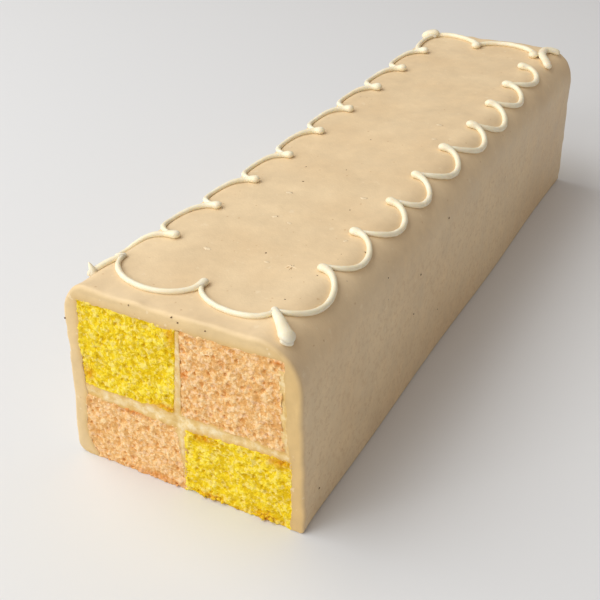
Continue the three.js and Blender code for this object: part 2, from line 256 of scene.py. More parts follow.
def cutLoaf(outline, edgeRadius, stations, relief, cell, reach, push=None):
    # a closed outline in X and Z carried along Y. At both ends it draws in by r(1 - sin a) while
    # y moves by r(1 - cos a), a quarter turn that rounds the cut edge. The two cut faces are
    # filled with small triangles whose depth is relief(x, z, end). push(points, outward) may
    # move the skin first. It gives the points, the faces and which points are on a cut face.
    outward = outwardOf(outline)
    turns = np.linspace(0, np.pi / 2, cutFace["edgeRings"])
    inset = edgeRadius * (1 - np.sin(turns))[:, None]
    depth = edgeRadius * (1 - np.cos(turns))[:, None]
    ys = np.broadcast_to(stations[:, None], (len(stations), len(outline)))
    insets = np.concatenate([inset, np.zeros_like(ys), inset[::-1]])
    y = np.concatenate([depth - reach, ys, reach - depth[::-1]])
    flat = outline[None] - outward[None] * insets[..., None]
    skin = np.stack([flat[..., 0], y, flat[..., 1]], axis=-1)
    out3 = np.stack([outward[:, 0], outward[:, 0] * 0, outward[:, 1]], axis=-1)
    if push is not None:
        skin = push(skin, out3)
    rings, count = skin.shape[:2]
    ringAt = np.arange(rings * count).reshape(rings, count)
    points, faces = [skin.reshape(-1, 3)], [ringSides(ringAt)]
    onCut = [np.zeros(rings * count)]
    total = rings * count
    for end, ring in ((-1, 0), (1, rings - 1)):
        edge = skin[ring][:, [0, 2]]
        low, high = edge.min(0), edge.max(0)
        rowStep = cell * cutFace["rowShare"]
        gx, gz = np.meshgrid(np.arange(low[0], high[0], cell), np.arange(low[1], high[1], rowStep))
        gx = gx + (np.arange(gx.shape[0]) % 2)[:, None] * cell * 0.5
        grid = np.stack([gx.ravel(), gz.ravel()], axis=1)
        grid = grid[insideOf(grid, edge)]
        away = awayFromLine(grid, edge)
        clear = away > cell * cutFace["clear"]
        grid, away = grid[clear], away[clear]
        every = [Vector(p) for p in np.concatenate([edge, grid]).tolist()]
        rim = [(n, (n + 1) % count) for n in range(count)]
        made = delaunay_2d_cdt(every, rim, [], 1, 1e-7)
        triangles = np.array([f for f in made[2] if len(f) == 3], dtype=np.int64)
        source = np.array([ids[0] if ids else -1 for ids in made[3]])
        flatAt = np.array([tuple(v) for v in made[0]])
        a, b, c = (flatAt[triangles[:, n]] for n in range(3))
        area = (b[:, 0] - a[:, 0]) * (c[:, 1] - a[:, 1]) - (b[:, 1] - a[:, 1]) * (c[:, 0] - a[:, 0])
        triangles = np.where((area > 0)[:, None], triangles, triangles[:, ::-1])
        triangles = source[triangles]  # back to the numbers of the points that went in
        triangles = triangles[(triangles >= 0).all(axis=1)]
        lift = relief(grid[:, 0], grid[:, 1], end) * fade(away / cutFace["calm"])
        inner = np.stack([grid[:, 0], end * (reach + lift), grid[:, 1]], axis=1)
        points.append(inner)
        onCut.append(np.ones(len(inner)))
        number = np.concatenate([ringAt[ring], total + np.arange(len(inner))])
        cap = number[triangles]
        faces.append(cap if end < 0 else cap[:, ::-1])
        total += len(inner)
    onCut = np.concatenate(onCut)
    onCut[ringAt[0]] = 1.0
    onCut[ringAt[-1]] = 1.0
    return np.concatenate(points), faces, onCut


def fill(tree, node, inputs):
    # each input gets a link where it is given a socket, and otherwise the plain value
    for key, value in inputs.items():
        if isinstance(value, bpy.types.NodeSocket):
            tree.links.new(value, node.inputs[key])
        else:
            node.inputs[key].default_value = value
    return node


def rgb(red, green, blue):
    # a colour given as it looks on a screen, 0 to 255, turned into light amounts
    def amount(v):
        v /= 255
        return v / 12.92 if v <= 0.04045 else ((v + 0.055) / 1.055) ** 2.4
    return (amount(red), amount(green), amount(blue), 1.0)


def newSurface(name, fixed):
    # a material with one Principled BSDF whose fixed values are set on its own sockets
    material = bpy.data.materials.new(name)
    material.use_nodes = True
    tree = material.node_tree
    tree.nodes.clear()
    out = tree.nodes.new("ShaderNodeOutputMaterial")
    shader = fill(tree, tree.nodes.new("ShaderNodeBsdfPrincipled"), fixed)
    fill(tree, out, {"Surface": shader.outputs["BSDF"]})
    return material, tree, shader


def newGroup(name, inputs, outputs):
    group = bpy.data.node_groups.new(name, "ShaderNodeTree")
    for label, kind, value in inputs:
        socket = group.interface.new_socket(label, in_out="INPUT", socket_type=kind)
        if value is not None:
            socket.default_value = value
    for label, kind in outputs:
        group.interface.new_socket(label, in_out="OUTPUT", socket_type=kind)
    return group, group.nodes.new("NodeGroupInput"), group.nodes.new("NodeGroupOutput")


def placeGroup(tree, group, **inputs):
    node = tree.nodes.new("ShaderNodeGroup")
    node.node_tree = group
    return fill(tree, node, inputs)


def ramp(tree, source, stops):
    # colours along a factor, each stop a (position, colour)
    node = tree.nodes.new("ShaderNodeValToRGB")
    elements = node.color_ramp.elements
    while len(elements) > 1:
        elements.remove(elements[-1])
    elements[0].position, elements[0].color = stops[0]
    for position, colour in stops[1:]:
        elements.new(position).color = colour
    return fill(tree, node, {"Fac": source}).outputs["Color"]


def mixColours(tree, factor, a, b, how="MIX"):
    # a or b may be a colour or a socket
    node = tree.nodes.new("ShaderNodeMix")
    node.data_type = "RGBA"
    node.blend_type = how
    return fill(tree, node, {0: factor, 6: a, 7: b}).outputs[2]


def numberFrom(tree, how, a, b, clamp=False):
    node = tree.nodes.new("ShaderNodeMath")
    node.operation = how
    node.use_clamp = clamp
    return fill(tree, node, {0: a, 1: b}).outputs[0]


def times(tree, a, b, clamp=False):
    return numberFrom(tree, "MULTIPLY", a, b, clamp)


def plus(tree, a, b, clamp=False):
    return numberFrom(tree, "ADD", a, b, clamp)


def stretch(tree, source, low, high, newLow=0.0, newHigh=1.0):
    # the span from low to high is carried to the new one and held there
    spans = {"Value": source, "From Min": low, "From Max": high, "To Min": newLow, "To Max": newHigh}
    return fill(tree, tree.nodes.new("ShaderNodeMapRange"), spans).outputs["Result"]


def noiseFrom(tree, where, scale, detail=2.0, rough=0.5):
    inputs = {"Vector": where, "Scale": scale, "Detail": detail, "Roughness": rough}
    return fill(tree, tree.nodes.new("ShaderNodeTexNoise"), inputs).outputs["Fac"]


def noiseMask(tree, where, row):
    # row holds a noise's scale, detail and roughness, then from where to where it is stretched
    return stretch(tree, noiseFrom(tree, where, *row[:3]), *row[3:])


def makeGrainGroup():
    # fine dough grain: three sizes of noise on the surface, as a mask and a height
    group, entry, leave = newGroup(
        "doughGrain",
        [("Vector", "NodeSocketVector", None), ("Scale", "NodeSocketFloat", 900.0)],
        [("Mottle", "NodeSocketFloat"), ("Height", "NodeSocketFloat")],
    )
    scaled = group.nodes.new("ShaderNodeVectorMath")
    scaled.operation = "SCALE"
    fill(group, scaled, {0: entry.outputs["Vector"], "Scale": entry.outputs["Scale"]})
    where = scaled.outputs[0]
    coarse = noiseFrom(group, where, 0.12, 3.0)
    middle = noiseFrom(group, where, 0.45, 3.0, 0.6)
    fine = noiseFrom(group, where, 1.7, 2.0, 0.6)
    mottle = plus(group, times(group, coarse, 0.6), times(group, middle, 0.4))
    height = plus(group, times(group, middle, 0.6), times(group, fine, 0.4))
    fill(group, leave, {"Mottle": mottle, "Height": height})
    return group


def makeFleckGroup():
    # scattered flecks: in only a Share of the cells of a Voronoi pattern the middle is marked,
    # out to where the distance, made uneven by a noise, reaches Size
    group, entry, leave = newGroup(
        "scatteredFlecks",
        [("Vector", "NodeSocketVector", None), ("Scale", "NodeSocketFloat", 100.0),
         ("Size", "NodeSocketFloat", 0.06), ("Share", "NodeSocketFloat", 0.3)],
        [("Mask", "NodeSocketFloat")],
    )
    cells = group.nodes.new("ShaderNodeTexVoronoi")
    cells.feature = "F1"
    fill(group, cells, {"Vector": entry.outputs["Vector"], "Scale": entry.outputs["Scale"]})
    wobble = stretch(group, noiseFrom(group, entry.outputs["Vector"], 1100.0), 0.3, 0.7, 0.55, 1.6)
    away = times(group, cells.outputs["Distance"], wobble)
    spot = stretch(group, numberFrom(group, "DIVIDE", away, entry.outputs["Size"]), 1.0, 0.7)
    pick = fill(group, group.nodes.new("ShaderNodeSeparateColor"), {0: cells.outputs["Color"]})
    chosen = numberFrom(group, "LESS_THAN", pick.outputs[0], entry.outputs["Share"])
    fill(group, leave, {"Mask": times(group, spot, chosen, True)})
    return group


grainGroup = makeGrainGroup()
fleckGroup = makeFleckGroup()
mottleSpan = (0.3, 0.7)  # where the grain's mottle mostly lies


def objectPlaces(tree):
    return tree.nodes.new("ShaderNodeTexCoord").outputs["Object"]


def attributeOf(tree, name):
    node = tree.nodes.new("ShaderNodeAttribute")
    node.attribute_name = name
    return node.outputs["Fac"]


def bumpTo(tree, shader, height, strength, distance):
    inputs = {"Height": height, "Strength": strength, "Distance": distance}
    bump = fill(tree, tree.nodes.new("ShaderNodeBump"), inputs)
    fill(tree, shader, {"Normal": bump.outputs["Normal"]})


def grainedSurface(name, look, fixed):
    # a surface whose roughness and relief both follow the dough grain
    material, tree, shader = newSurface(name, fixed)
    where = objectPlaces(tree)
    grain = placeGroup(tree, grainGroup, Vector=where, Scale=look["grainScale"])
    mottle = grain.outputs["Mottle"]
    fill(tree, shader, {"Roughness": stretch(tree, mottle, *mottleSpan, *look["rough"])})
    bumpTo(tree, shader, grain.outputs["Height"], *look["relief"])
    return material, tree, shader, where, mottle


print("marzipan coat")
coat = {
    "baseHalfWidth": 36.6,
    "leftReach": 34.9,
    "leftAcross": 8.5,
    "rightReach": 36.0,
    "rightAcross": 12.0,
    "shoulderDown": 12.5,
    "leftFoot": 3.5,
    "rightFoot": 1.2,
    "topThickness": 4.4,
    "leftInside": [(0, -28.7), (4, -31.2), (10, -32.1), (22, -30.9), (38, -30.9), (53, -29.7)],
    "rightInside": [(0, 33), (12, 32.9), (22, 32.7), (30, 31.6), (53, 31.4)],
    "cutEdge": 1.1,  # radius of the outer edge at the cut
    "innerEdge": 0.15,
    "step": 1.0,
    "innerStep": 0.55,
    "cell": 0.6,
    "stationStep": 1.6,
    "waveHigh": 0.12,
    "waveSize": 21.0,
    "quickHigh": 0.05,
    "quickSize": 5.5,
    "waveFoot": 9.0,  # the waves fade in over this height
    "waverReach": 2.5,  # how far from the cut its edges waver
    "outerWaver": 0.34,
    "outerSize": 5.0,
    "innerWaver": 0.32,
    "innerSize": 2.4,
    "leftSpread": 0.3,  # the coat is this much wider at the cut's left side
    "dragDeep": 0.07,
    "dragSize": 0.9,
    "dragLong": 9.0,  # times as long as it is high
    "hollowDeep": 0.16,
    "hollowSize": 5.0,
    "cutToneRings": (1.0, 0.85, 0.7, 0.45, 0.2),  # from the cut out over its rounded edge
    "spongeReach": 1.1,
    # painted shade: how far the cut's right strip is deepened where it turns from the light
    "rightPaintedShade": 0.65,
    "cutShare": 0.85,
    "mottleLight": (0.91, 1.06),
    "broad": (38.0, 3.0, 0.55, 0.35, 0.7),
    "wallMottle": (620.0, 3.0, 0.65, 0.50, 0.64, 0.0, 0.34),
    "wallMottleHeights": (0.052, 0.042),  # from none to all of them down the walls, in metres
    "grainScale": 820.0,
    "rough": (0.40, 0.56),
    "relief": (0.5, 0.00022),  # strength, and depth in metres
    "tone": rgb(236, 212, 172),
    "toneDeep": rgb(231, 204, 162),
    "cutTone": rgb(207, 168, 94),
    "cutToneEdge": rgb(225, 197, 146),
    "paleFleck": rgb(244, 225, 191),
    "grainTone": rgb(206, 170, 122),
    "darkSpeck": rgb(120, 84, 52),
    # scale, size and share of the cells, colour, strength
    "flecks": [
        (150.0, 0.13, 0.42, "paleFleck", 0.45),
        (410.0, 0.16, 0.45, "paleFleck", 0.38),
        (330.0, 0.12, 0.36, "grainTone", 0.62),
        (170.0, 0.035, 0.22, "darkSpeck", 0.6),
    ],
}
ceiling = cake["height"] - coat["topThickness"]


def across(pairs, z):
    # straight stretches between pairs of height and distance across
    heights, places = np.array(pairs, float).T
    return np.interp(z, heights, places)


def topHeight(x):
    # the coat's even top: flat in the middle, a quarter ellipse down each shoulder
    reach = np.where(x < 0, coat["leftReach"], coat["rightReach"])
    wide = np.where(x < 0, coat["leftAcross"], coat["rightAcross"])
    share = np.clip((np.abs(x) - (reach - wide)) / wide, 0.0, 0.995)
    return cake["height"] - coat["shoulderDown"] * (1 - np.sqrt(1 - share * share))


def coatWave(x, y, z):
    # how far the marzipan stands proud of its even shape, from slow and quick soft noise
    slow = softNoise(x, y, z, coat["waveSize"], 5, 2)
    quick = softNoise(x, y, z, coat["quickSize"], 9, 2)
    return (coat["waveHigh"] * slow + coat["quickHigh"] * quick) * fade(z / coat["waveFoot"])


def coatOutline():
    # the coat's section at the cut, anticlockwise from the right toe: each corner is a quarter
    # ellipse, and a second list tells the outside from the inside
    base, foot, toe = coat["baseHalfWidth"], coat["leftFoot"], coat["rightFoot"]
    quarter = np.linspace(0, np.pi / 2, 15)
    drop, draw = 1 - np.sin(quarter), 1 - np.cos(quarter)
    shoulder = cake["height"] - coat["shoulderDown"] * drop
    right = np.stack([coat["rightReach"] - coat["rightAcross"] * draw, shoulder], 1)
    left = np.stack([coat["leftAcross"] * draw - coat["leftReach"], shoulder], 1)[::-1]
    toeArc = np.stack([base - toe * drop, toe * draw], 1)
    footArc = np.stack([foot * draw - base, foot * drop], 1)
    outer = np.concatenate([toeArc[::3], right, left, footArc[::2]])
    leftIn = np.array([(x, z) for z, x in coat["leftInside"][:-1]])
    rightIn = np.array([(x, z) for z, x in coat["rightInside"][:-1]])[::-1]
    roof = np.array([(across(coat[side], ceiling), ceiling) for side in ("leftInside", "rightInside")])
    inner = np.concatenate([outer[-1:], leftIn, roof, rightIn, outer[:1]])
    outerLine = evenSteps(outer, coat["step"])
    innerLine = evenSteps(inner, coat["innerStep"])[1:-1]
    isOuter = np.concatenate([np.ones(len(outerLine)), np.zeros(len(innerLine))])
    return np.concatenate([outerLine, innerLine]), isOuter


outline, isOuter = coatOutline()
coatEdge = np.where(isOuter > 0, coat["cutEdge"], coat["innerEdge"])
coatEdge = coatEdge * blendTo(0.3, 1.0, fade(outline[:, 1] / 4.0))  # sharper near the base


def coatPush(skin, outward):
    # the outside moves along its own direction by the coat's wave, and the cut edge wavers
    x, y, z = skin[..., 0], skin[..., 1], skin[..., 2]
    nearCut = np.exp(-((halfLength - np.abs(y)) / coat["waverReach"]) ** 2)
    waver = coat["outerWaver"] * softNoise(x, 0, z, coat["outerSize"], 31, 2)
    waver = (waver + coat["leftSpread"] * fade(-x / 30)) * nearCut * fade(z / 6.0)
    inside = coat["innerWaver"] * softNoise(x, 0, z, coat["innerSize"], 33, 3) * nearCut
    return skin + outward * np.where(isOuter > 0, coatWave(x, y, z) + waver, inside)[..., None]


def coatCutRelief(x, z, end):
    # the knife leaves faint level drag lines and soft hollows
    drag = softNoise(x / coat["dragLong"], end, z, coat["dragSize"], 41, 2)
    hollow = softNoise(x, end, z, coat["hollowSize"], 43, 2)
    return coat["dragDeep"] * drag + coat["hollowDeep"] * hollow


coatStations = np.arange(-halfLength + 2.0, halfLength - 1.9, coat["stationStep"])
coatPoints, coatFaces, coatCut = cutLoaf(
    outline, coatEdge, coatStations, coatCutRelief, coat["cell"], halfLength, push=coatPush)
# the cut's tone runs out over its rounded edge; on the cut it is darkest beside the sponge, by
# exp(-distance / spongeReach), and it is deeper all over down the right side, as painted shade where the
# cut turns from the light
lastRing = len(coatStations) + 2 * cutFace["edgeRings"] - 1
for ring, amount in enumerate(coat["cutToneRings"]):
    for first in (ring * len(outline), (lastRing - ring) * len(outline)):
        coatCut[first:first + len(outline)] = amount
flatCut = coatCut > 0.9  # both faces and their rims
fromSponge = np.full(len(coatPoints), 9.0)
fromSponge[flatCut] = awayFromLine(coatPoints[flatCut][:, [0, 2]], outline[isOuter == 0])
coatPoints = settle(coatPoints)
coatPoints[:, 2] = np.maximum(coatPoints[:, 2], 0.0)


def marzipanMaterial():
    material, tree, shader, where, mottle = grainedSurface(
        "rolledMarzipan", coat, {"Specular IOR Level": 0.42})
    tone = mixColours(tree, noiseMask(tree, where, coat["broad"]), coat["tone"], coat["toneDeep"])
    cut = attributeOf(tree, "onCut")
    # the cut's tone: deepest beside the sponge, and deepened down the right strip as painted shade
    cutTone = mixColours(tree, attributeOf(tree, "spongeToneAndRightShade"), coat["cutToneEdge"], coat["cutTone"])
    tone = mixColours(tree, times(tree, cut, coat["cutShare"]), tone, cutTone)
    light = stretch(tree, mottle, *mottleSpan, *coat["mottleLight"])
    shade = fill(tree, tree.nodes.new("ShaderNodeCombineColor"), {0: light, 1: light, 2: light})
    tone = mixColours(tree, 1.0, tone, shade.outputs[0], "MULTIPLY")
    for scale, size, share, colour, amount in coat["flecks"]:
        flecks = placeGroup(tree, fleckGroup, Vector=where, Scale=scale, Size=size, Share=share)
        tone = mixColours(tree, times(tree, flecks.outputs["Mask"], amount), tone, coat[colour])
    # the side walls below the top are mottled a little darker
    axes = fill(tree, tree.nodes.new("ShaderNodeSeparateXYZ"), {0: where})
    wallShare = stretch(tree, axes.outputs["Z"], *coat["wallMottleHeights"])
    wallShare = numberFrom(tree, "SUBTRACT", wallShare, cut, True)
    wallMottle = times(tree, noiseMask(tree, where, coat["wallMottle"]), wallShare, True)
    tone = mixColours(tree, wallMottle, tone, coat["grainTone"])
    fill(tree, shader, {"Base Color": tone})
    return material


marzipan = marzipanMaterial()
# painted shade down the cut's right strip, carried in the same attribute as the tone beside the sponge
rightShade = coat["rightPaintedShade"] * fade((coatPoints[:, 0] - 22) / 10)
spongeToneAndRightShade = np.maximum(np.exp(-fromSponge / coat["spongeReach"]), rightShade)
coatValues = {"onCut": coatCut, "spongeToneAndRightShade": spongeToneAndRightShade}
makePiece("marzipanWrap", coatPoints, coatFaces, marzipan, "marzipan", ["marzipan_coat"], coatValues)


print("sponge bars")
seams = {
    "layerBottom": (21.2, 20.9, 22.6),  # left, middle, right
    "layerTop": (25.9, 26.6, 25.9),
    "upper": {"low": 26.6, "high": ceiling, "centre": (-0.7, 1.5), "width": (2.7, 1.5)},
    "lower": {"low": 0.0, "high": 20.9, "centre": (0.8, 0.0), "width": (1.2, 4.2)},
    # the same seam as the lower bars' crumb follows it
    "lowerCrumb": {"low": 0.0, "high": 20.9, "centre": (0.8, 0.0), "width": (0.4, 4.0)},
    "sideSmear": 1.1,
    "smearHead": 4.0,  # how far below the ceiling the smear thins out
    "smearFade": 1.5,
}


def seamEdge(seam, z, side):
    # the seam's centre line and width change evenly from its foot to its head
    share = np.clip((z - seam["low"]) / (seam["high"] - seam["low"]), 0.0, 1.0)
    centre = blendTo(seam["centre"][0], seam["centre"][1], share)
    width = blendTo(seam["width"][0], seam["width"][1], share)
    return centre + side * width / 2


def besideSmear(z):
    # the upper right bar stops at the smear, and above it runs on to the coat
    over = fade((z - ceiling + seams["smearHead"]) / seams["smearFade"])
    return across(coat["rightInside"], z) + blendTo(-seams["sideSmear"], crumb["overSmear"], over)


crumb = {
    "columns": 206,
    "rows": 182,
    "setBack": -0.05,
    "overWall": 1.15,  # how far a bar reaches into the coat
    "overCream": 1.2,  # into the buttercream layer
    "overSeam": 0.9,  # and into the upright seams, at the upper one's left
    "overSeamRight": 0.45,
    "overLowerSeam": 1.35,
    "overSmear": 0.2,
    "ragged": 0.4,  # how far its rim wavers
    "raggedSize": 1.7,
    "raggedReach": 1.3,
    "tuckWide": 0.8,  # towards its rim the crumb sinks under its neighbours
    "tuckDeep": 0.9,
    "bend": 0.16,  # how far the grains are bent out of their squares
    "bendSize": 0.9,
    "clump": 2.4,
    "clumpHigh": 0.24,
    "grain": 0.88,
    "grainHigh": 0.34,
    "smallGrain": 0.46,
    "smallHigh": 0.17,
    "pit": 2.1,
    "pitDeep": 0.4,
    "pitWide": (0.15, 0.45),  # the smallest, and what the largest has more
    "pitWaver": 0.3,
    "pitWaverSize": 0.6,
    "clumpShare": 0.6,  # in the height that colours follow
    "rings": 12,
    "ringsFrom": 3,
    "level": 0.35,  # taken off so that the crumb stays at the cut on average
    "far": 9,  # counts as beyond the reach of a rim that isn't tucked
    "rimCrust": 0.5,  # the rim is browned here and there
    "rimCrustWide": 0.8,
    "rimCrustSize": 3.0,
    # painted shade in the pits to painted highlight on the grain tops: the heights from the deepest
    # colour to the palest
    "shadeToHighlightSpan": (-0.6, 0.72),  # the heights from the deepest colour to the palest
    "tintShare": 0.12,
    "relief": (2600.0, 3.0, 0.65),
}
# the crumb ramp's stops, from painted shade in the pits to painted highlight on the grain tops
crumbShadeAndToneStops = (0.0, 0.36, 0.62, 1.0)
# stops run from painted shade deep in the pits to painted highlight on the grain tops; patch, pale and
# crust are the crumb's own colours
yellowLook = {
    "stops": [rgb(197, 152, 0), rgb(230, 192, 7), rgb(243, 213, 32), rgb(251, 233, 102)],
    "patch": rgb(214, 177, 0),
    "pale": rgb(248, 228, 128),
    "crust": rgb(214, 138, 12),
}
pinkLook = {
    "stops": [rgb(196, 130, 62), rgb(228, 168, 98), rgb(241, 195, 131), rgb(252, 224, 175)],
    "patch": rgb(216, 160, 90),
    "pale": rgb(247, 211, 168),
    "crust": rgb(214, 126, 42),
}
spongeNoise = {
    "fine": (2100.0, 3.0, 0.6, 0.25, 0.75, -0.2, 0.2),
    "patch": (430.0, 3.0, 0.6, 0.49, 0.59, 0.0, 0.7),
    "pale": (560.0, 3.0, 0.6, 0.52, 0.60, 0.0, 0.68),
    "browned": (900.0, 2.0, 0.5, 0.3, 0.6, 0.4, 1.0),
}


def roundGrains(x, z, size, high, seed):
    away, number = nearestGrain(x, z, size, seed)
    return dome(away, size * 0.8) * (0.6 + 0.4 * number) * high, number


def crumbLift(x, z, seed):
    # clumps of soft noise, two sizes of rounded grains each as high as its own number says, and
    # uneven pits taken out. It gives the height, the height that the colours' painted shade and highlight
    # follow, and the grain number.
    bendX = x + crumb["bend"] * softNoise(x, z, 0, crumb["bendSize"], seed + 1)
    bendZ = z + crumb["bend"] * softNoise(x, z, 9, crumb["bendSize"], seed + 2)
    grains, number = roundGrains(bendX, bendZ, crumb["grain"], crumb["grainHigh"], seed)
    smalls, _ = roundGrains(bendX, bendZ, crumb["smallGrain"], crumb["smallHigh"], seed + 3)
    pitAway, pitNumber = nearestGrain(x, z, crumb["pit"], seed + 5)
    pitAway = pitAway + crumb["pitWaver"] * softNoise(x, z, 0, crumb["pitWaverSize"], seed + 6)
    smallest, more = crumb["pitWide"]
    pits = fade(1.6 - pitAway / (smallest + more * np.clip(pitNumber, 0.0, 1.0))) * crumb["pitDeep"]
    pits = pits * fade(pitNumber * 2.0)
    clumps = crumb["clumpHigh"] * softNoise(x, z, 0, crumb["clump"], seed + 7, 3)
    local = grains + smalls - pits + crumb["clumpShare"] * clumps
    return clumps + grains + smalls - pits - crumb["level"], local, number


def spongeBar(bar, seed):
    # a block of columns by rows whose four walls are functions of height; the two cut faces
    # carry the crumb, and their rims are joined by rings along Y
    nx, nz = crumb["columns"], crumb["rows"]
    u, v = np.meshgrid(np.linspace(0, 1, nx), np.linspace(0, 1, nz))
    overLeft, overRight, overFloor, overTop = bar["over"]
    floor = blendTo(bar["floor"][0], bar["floor"][1], u) - overFloor
    top = blendTo(bar["top"][0], bar["top"][1], u) + overTop
    z = blendTo(floor, top, v)
    x = blendTo(bar["left"](z) - overLeft, bar["right"](z) + overRight, u)
    acrossStep, upStep = (x[0, -1] - x[0, 0]), (z[-1, 0] - z[0, 0])
    rims = [
        u * acrossStep, (1 - u) * acrossStep + (crumb["far"] if "openRight" in bar else 0),
        v * upStep + (0 if overFloor else crumb["far"]), (1 - v) * upStep,
    ]
    tuck = crumb["tuckDeep"] * (1 - fade(np.minimum.reduce(rims) / crumb["tuckWide"]))
    rim = np.minimum.reduce([*rims, v * upStep, (1 - u) * acrossStep])
    reach = halfLength - crumb["setBack"]
    faces, points, values = [], [], {"crumbLift": [], "crumbTint": [], "crust": []}
    perimeter = np.concatenate([
        np.arange(nx - 1), (np.arange(nz - 1) + 1) * nx - 1,
        nz * nx - 1 - np.arange(nx - 1), (nz - 1 - np.arange(nz - 1)) * nx,
    ])
    gridAt = np.arange(nx * nz).reshape(nz, nx)
    quads = [gridAt[:-1, :-1], gridAt[:-1, 1:], gridAt[1:, 1:], gridAt[1:, :-1]]
    quads = np.stack(quads, -1).reshape(-1, 4)
    for end in (-1, 1):
        lift, local, tint = crumbLift(x, z, seed + (40 if end > 0 else 0))
        y = end * (reach + lift - tuck)
        waver = crumb["ragged"] * np.exp(-rim / crumb["raggedReach"])
        sideways = softNoise(x, z, end, crumb["raggedSize"], seed + 13, 3)
        upwards = softNoise(x, z, end, crumb["raggedSize"], seed + 17, 3)
        points.append(np.stack([x + waver * sideways, y, z + waver * upwards], -1).reshape(-1, 3))
        values["crumbLift"].append(local.ravel())
        values["crumbTint"].append(tint.ravel())
        crust = np.zeros(x.shape)
        for cx, cz, wide, high, amount in bar["crust"] if end < 0 else ():
            spot = np.exp(-((x - cx) / wide) ** 2 - ((z - cz) / high) ** 2)
            crust = np.maximum(crust, amount * spot)
        where = fade(softNoise(x, z, end, crumb["rimCrustSize"], seed + 11, 2) * 2.0)
        rimCrust = crumb["rimCrust"] * np.exp(-rim / crumb["rimCrustWide"]) * where
        values["crust"].append(np.maximum(crust, rimCrust).ravel())
    faces += [quads, quads[:, ::-1] + nx * nz]
    ys = np.linspace(crumb["ringsFrom"] - reach, reach - crumb["ringsFrom"], crumb["rings"])[:, None]
    rings = np.stack(np.broadcast_arrays(x.ravel()[perimeter], ys, z.ravel()[perimeter]), -1)
    points.append(rings.reshape(-1, 3))
    for parts in values.values():
        parts.append(np.zeros(rings[..., 0].size))
    ringAt = 2 * nx * nz + np.arange(rings[..., 0].size).reshape(rings.shape[:2])
    faces.append(ringSides(np.concatenate([perimeter[None], ringAt, perimeter[None] + nx * nz])))
    values = {key: np.concatenate(parts) for key, parts in values.items()}
    points = settle(np.concatenate(points))
    points[:, 2] = np.maximum(points[:, 2], 0.05)
    return points, faces, values


def spongeMaterial(name, look):
    # colour follows the crumb: painted shade deep in the pits and painted highlight on the grain tops,
    # with a random tone for each grain; it shifts in patches, and is browned where it is crust
    material, tree, shader = newSurface(name, {"Roughness": 0.9, "Specular IOR Level": 0.25})
    where = objectPlaces(tree)
    masks = {key: noiseMask(tree, where, row) for key, row in spongeNoise.items()}
    tint = times(tree, attributeOf(tree, "crumbTint"), crumb["tintShare"])
    level = plus(tree, stretch(tree, attributeOf(tree, "crumbLift"), *crumb["shadeToHighlightSpan"]), tint)
    level = plus(tree, level, masks["fine"], True)
    tone = ramp(tree, level, list(zip(crumbShadeAndToneStops, look["stops"])))
    tone = mixColours(tree, masks["patch"], tone, look["patch"])
    tone = mixColours(tree, masks["pale"], tone, look["pale"])
    crust = times(tree, attributeOf(tree, "crust"), masks["browned"], True)
    fill(tree, shader, {"Base Color": mixColours(tree, crust, tone, look["crust"])})
    bumpTo(tree, shader, noiseFrom(tree, where, *crumb["relief"]), 0.6, 0.00018)
    return material


yellowSponge = spongeMaterial("yellowSponge", yellowLook)
pinkSponge = spongeMaterial("pinkSponge", pinkLook)
sponges = {"yellow": (yellowSponge, "yellow_sponge"), "pink": (pinkSponge, "pink_sponge")}
fit = cake["fit"]
wall, layer, seam, seamRight, lowerSeam, smear = (crumb["over" + key] for key in (
    "Wall", "Cream", "Seam", "SeamRight", "LowerSeam", "Smear"))
# over is how far each bar reaches past its left, right, floor and top; crust is where it is
# browned on the near cut, as (x, z), half width, half height and strength
bars = [
    {
        "name": "yellowBarUpper", "node": "sponge_yellow_upper", "sponge": "yellow",
        "left": lambda z: across(coat["leftInside"], z) + fit,
        "right": lambda z: seamEdge(seams["upper"], z, -1),
        "floor": seams["layerTop"][:2], "top": (ceiling - fit, ceiling - fit),
        "over": (wall, seam, layer, wall),
        "crust": [(-0.5, 50.5, 1.4, 3.2, 0.9), (-29.2, 29.5, 2.0, 2.2, 0.8), (-4.0, 27.0, 5.0, 1.3, 0.9)],
    },
    {
        "name": "pinkBarUpper", "node": "sponge_pink_upper", "sponge": "pink",
        "left": lambda z: seamEdge(seams["upper"], z, 1),
        "right": besideSmear,
        "floor": seams["layerTop"][1:], "top": (ceiling - fit, ceiling - fit),
        "over": (seamRight, smear, layer, wall),
        "openRight": True,  # its right rim lies on the smear, not under it
        "crust": [(30.0, 51.9, 1.4, 0.8, 1.0), (2.6, 39.6, 1.8, 1.3, 1.0), (14.0, 47.0, 1.2, 1.5, 0.5)],
    },
    {
        "name": "pinkBarLower", "node": "sponge_pink_lower", "sponge": "pink",
        "left": lambda z: across(coat["leftInside"], z) + fit,
        "right": lambda z: seamEdge(seams["lowerCrumb"], z, -1),
        "floor": (0.0, 0.0), "top": seams["layerBottom"][:2],
        "over": (wall, lowerSeam, 0, layer),
        "crust": [(-15.5, 21.6, 5.5, 0.9, 0.9), (-9.0, 1.0, 9.0, 1.2, 0.6)],
    },
    {
        "name": "yellowBarLower", "node": "sponge_yellow_lower", "sponge": "yellow",
        "left": lambda z: seamEdge(seams["lowerCrumb"], z, 1),
        "right": lambda z: across(coat["rightInside"], z) - fit,
        "floor": (0.0, 0.0), "top": seams["layerBottom"][1:],
        "over": (lowerSeam, wall, 0, layer),
        "crust": [(7.0, 20.6, 3.4, 1.6, 0.9), (29.5, 21.6, 4.0, 1.8, 0.9),
                  (9.5, 0.8, 3.5, 1.4, 1.0), (25.5, 1.0, 3.0, 1.5, 1.0)],
    },
]
for index, bar in enumerate(bars):
    points, faces, values = spongeBar(bar, 100 + 7 * index)
    makePiece(bar["name"], points, faces, *sponges[bar["sponge"]], [bar["node"]], values)


